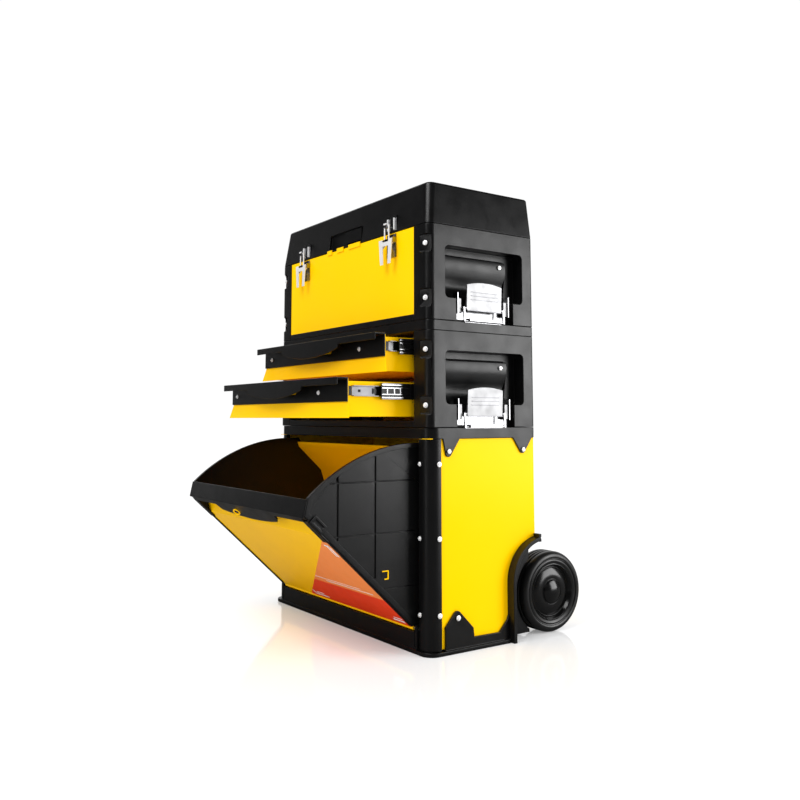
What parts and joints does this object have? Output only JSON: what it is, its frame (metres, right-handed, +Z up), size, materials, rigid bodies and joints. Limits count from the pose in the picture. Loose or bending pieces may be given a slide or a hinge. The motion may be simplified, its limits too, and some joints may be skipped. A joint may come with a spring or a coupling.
{
  "type": "rolling tool box",
  "caption": "Wheeled cabinet with a tilt-out bin, a two-drawer module stacked on it and a lidded box on top, held together by side toggle latches, with a telescopic pull handle.",
  "frame": {"origin": "on the floor under the middle of the box's body", "axes": "+X to the box's right, -Y to its front, +Z up"},
  "size_m": [0.514, 0.5209, 0.722],
  "materials": {
    "yellow_paint": "gloss",
    "black_plastic": "fine texture",
    "bright_steel": "polished",
    "slide_steel": "zinc plated",
    "tube_steel": "satin",
    "tyre_rubber": "satin",
    "hub_gloss_black": "gloss"
  },
  "bodies": {
    "cabinet": {"base_tray": "black_plastic", "front_posts": "black_plastic", "side_panel_left": "yellow_paint", "side_panel_right": "yellow_paint", "rear_panel": "yellow_paint", "cabinet_top_frame": "black_plastic", "wheel_arch_left": "black_plastic", "wheel_arch_right": "black_plastic", "axle": "tube_steel", "bin_hinge_rod": "tube_steel", "cabinet_hardware": "bright_steel", "handle_guides": "tube_steel"},
    "bin": {"bin_front_panel": "yellow_paint", "bin_back_panel": "yellow_paint", "bin_pull": "black_plastic", "bin_side_left": "black_plastic", "bin_side_right": "black_plastic"},
    "wheel_left": {"tyre_left": "tyre_rubber", "wheel_hub_left": "hub_gloss_black"},
    "wheel_right": {"tyre_right": "tyre_rubber", "wheel_hub_right": "hub_gloss_black"},
    "handle_middle": {"handle_middle_tubes": "tube_steel"},
    "pull_handle": {"handle_inner_tubes": "tube_steel", "handle_grip": "black_plastic"},
    "drawer_module": {"module_end_left": "black_plastic", "module_end_right": "black_plastic", "module_rear_panel": "yellow_paint", "module_floor": "black_plastic", "module_top_frame": "black_plastic", "module_slide_rails": "slide_steel", "module_hardware": "bright_steel"},
    "lower_drawer": {"lower_drawer_tray": "yellow_paint", "lower_drawer_handle": "black_plastic", "lower_drawer_slides": "slide_steel"},
    "upper_drawer": {"upper_drawer_tray": "yellow_paint", "upper_drawer_handle": "black_plastic", "upper_drawer_slides": "slide_steel"},
    "lower_slide_middle": {"lower_middle_slides": "slide_steel"},
    "upper_slide_middle": {"upper_middle_slides": "slide_steel"},
    "top_box": {"box_end_left": "black_plastic", "box_end_right": "black_plastic", "box_front_panel": "yellow_paint", "box_rear_panel": "yellow_paint", "box_floor": "black_plastic", "box_hardware": "bright_steel"},
    "lid": {"lid_shell": "black_plastic", "lid_fittings": "bright_steel"},
    "carry_handle": {"carry_handle": "black_plastic"},
    "module_latch_lever_left": {"module_latch_lever_left": "bright_steel"},
    "module_latch_bail_left": {"module_latch_bail_left": "bright_steel"},
    "module_latch_lever_right": {"module_latch_lever_right": "bright_steel"},
    "module_latch_bail_right": {"module_latch_bail_right": "bright_steel"},
    "box_latch_lever_left": {"box_latch_lever_left": "bright_steel"},
    "box_latch_bail_left": {"box_latch_bail_left": "bright_steel"},
    "box_latch_lever_right": {"box_latch_lever_right": "bright_steel"},
    "box_latch_bail_right": {"box_latch_bail_right": "bright_steel"},
    "front_latch_lever_left": {"front_latch_lever_left": "bright_steel"},
    "front_latch_loop_left": {"front_latch_loop_left": "bright_steel"},
    "front_latch_lever_right": {"front_latch_lever_right": "bright_steel"},
    "front_latch_loop_right": {"front_latch_loop_right": "bright_steel"}
  },
  "joints": [
    {"name": "bin_tilt", "type": "hinge", "parent": "cabinet", "child": "bin", "pos_m": [0, -0.1095, 0.037], "axis": [-1, 0, 0], "range_deg": [0, 47]},
    {"name": "wheel_left_spin", "type": "hinge", "parent": "cabinet", "child": "wheel_left", "pos_m": [-0.219, 0.15, 0.065], "axis": [1, 0, 0], "continuous": true},
    {"name": "wheel_right_spin", "type": "hinge", "parent": "cabinet", "child": "wheel_right", "pos_m": [0.219, 0.15, 0.065], "axis": [1, 0, 0], "continuous": true},
    {"name": "handle_middle_slide", "type": "slide", "parent": "cabinet", "child": "handle_middle", "axis": [0, 0, -1], "range_m": [-0.18, 0]},
    {"name": "pull_handle_slide", "type": "slide", "parent": "handle_middle", "child": "pull_handle", "axis": [0, 0, -1], "range_m": [-0.22, 0]},
    {"name": "drawer_module_lift", "type": "slide", "parent": "cabinet", "child": "drawer_module", "axis": [0, 0, 1], "range_m": [0, 0.24]},
    {"name": "lower_drawer_slide", "type": "slide", "parent": "drawer_module", "child": "lower_drawer", "axis": [0, -1, 0], "range_m": [-0.116, 0.054]},
    {"name": "upper_drawer_slide", "type": "slide", "parent": "drawer_module", "child": "upper_drawer", "axis": [0, -1, 0], "range_m": [-0.05, 0.12]},
    {"name": "lower_middle_slide", "type": "slide", "parent": "drawer_module", "child": "lower_slide_middle", "axis": [0, -1, 0], "range_m": [-0.058, 0.027]},
    {"name": "upper_middle_slide", "type": "slide", "parent": "drawer_module", "child": "upper_slide_middle", "axis": [0, -1, 0], "range_m": [-0.025, 0.06]},
    {"name": "top_box_lift", "type": "slide", "parent": "drawer_module", "child": "top_box", "axis": [0, 0, 1], "range_m": [0, 0.24]},
    {"name": "lid_hinge", "type": "hinge", "parent": "top_box", "child": "lid", "pos_m": [0, 0.114, 0.651], "axis": [-1, 0, 0], "range_deg": [0, 95]},
    {"name": "carry_handle_fold", "type": "hinge", "parent": "lid", "child": "carry_handle", "pos_m": [0, 0.013, 0.7105], "axis": [-1, 0, 0], "range_deg": [0, 90]},
    {"name": "module_latch_left", "type": "hinge", "parent": "drawer_module", "child": "module_latch_lever_left", "pos_m": [-0.24, 0, 0.3575], "axis": [0, -1, 0], "range_deg": [0, 90]},
    {"name": "module_bail_left", "type": "hinge", "parent": "module_latch_lever_left", "child": "module_latch_bail_left", "pos_m": [-0.247, 0, 0.3575], "axis": [0, -1, 0], "range_deg": [-114, 0]},
    {"name": "module_latch_right", "type": "hinge", "parent": "drawer_module", "child": "module_latch_lever_right", "pos_m": [0.24, 0, 0.3575], "axis": [0, 1, 0], "range_deg": [0, 90]},
    {"name": "module_bail_right", "type": "hinge", "parent": "module_latch_lever_right", "child": "module_latch_bail_right", "pos_m": [0.247, 0, 0.3575], "axis": [0, 1, 0], "range_deg": [-114, 0]},
    {"name": "box_latch_left", "type": "hinge", "parent": "top_box", "child": "box_latch_lever_left", "pos_m": [-0.24, 0, 0.524], "axis": [0, -1, 0], "range_deg": [0, 90]},
    {"name": "box_bail_left", "type": "hinge", "parent": "box_latch_lever_left", "child": "box_latch_bail_left", "pos_m": [-0.247, 0, 0.524], "axis": [0, -1, 0], "range_deg": [-114, 0]},
    {"name": "box_latch_right", "type": "hinge", "parent": "top_box", "child": "box_latch_lever_right", "pos_m": [0.24, 0, 0.524], "axis": [0, 1, 0], "range_deg": [0, 90]},
    {"name": "box_bail_right", "type": "hinge", "parent": "box_latch_lever_right", "child": "box_latch_bail_right", "pos_m": [0.247, 0, 0.524], "axis": [0, 1, 0], "range_deg": [-114, 0]},
    {"name": "front_latch_left", "type": "hinge", "parent": "top_box", "child": "front_latch_lever_left", "pos_m": [-0.145, -0.1135, 0.64], "axis": [-1, 0, 0], "range_deg": [0, 95]},
    {"name": "front_loop_left", "type": "hinge", "parent": "front_latch_lever_left", "child": "front_latch_loop_left", "pos_m": [-0.145, -0.1195, 0.64], "axis": [-1, 0, 0], "range_deg": [-110, 0]},
    {"name": "front_latch_right", "type": "hinge", "parent": "top_box", "child": "front_latch_lever_right", "pos_m": [0.145, -0.1135, 0.64], "axis": [-1, 0, 0], "range_deg": [0, 95]},
    {"name": "front_loop_right", "type": "hinge", "parent": "front_latch_lever_right", "child": "front_latch_loop_right", "pos_m": [0.145, -0.1195, 0.64], "axis": [-1, 0, 0], "range_deg": [-110, 0]}
  ],
  "couplings": [
    {"joint": "lower_middle_slide", "follows": "lower_drawer_slide", "ratio": 0.5},
    {"joint": "upper_middle_slide", "follows": "upper_drawer_slide", "ratio": 0.5},
    {"joint": "module_bail_left", "follows": "module_latch_left", "ratio": -1.25},
    {"joint": "module_bail_right", "follows": "module_latch_right", "ratio": -1.25},
    {"joint": "box_bail_left", "follows": "box_latch_left", "ratio": -1.25},
    {"joint": "box_bail_right", "follows": "box_latch_right", "ratio": -1.25},
    {"joint": "front_loop_left", "follows": "front_latch_left", "ratio": -1.15},
    {"joint": "front_loop_right", "follows": "front_latch_right", "ratio": -1.15}
  ]
}
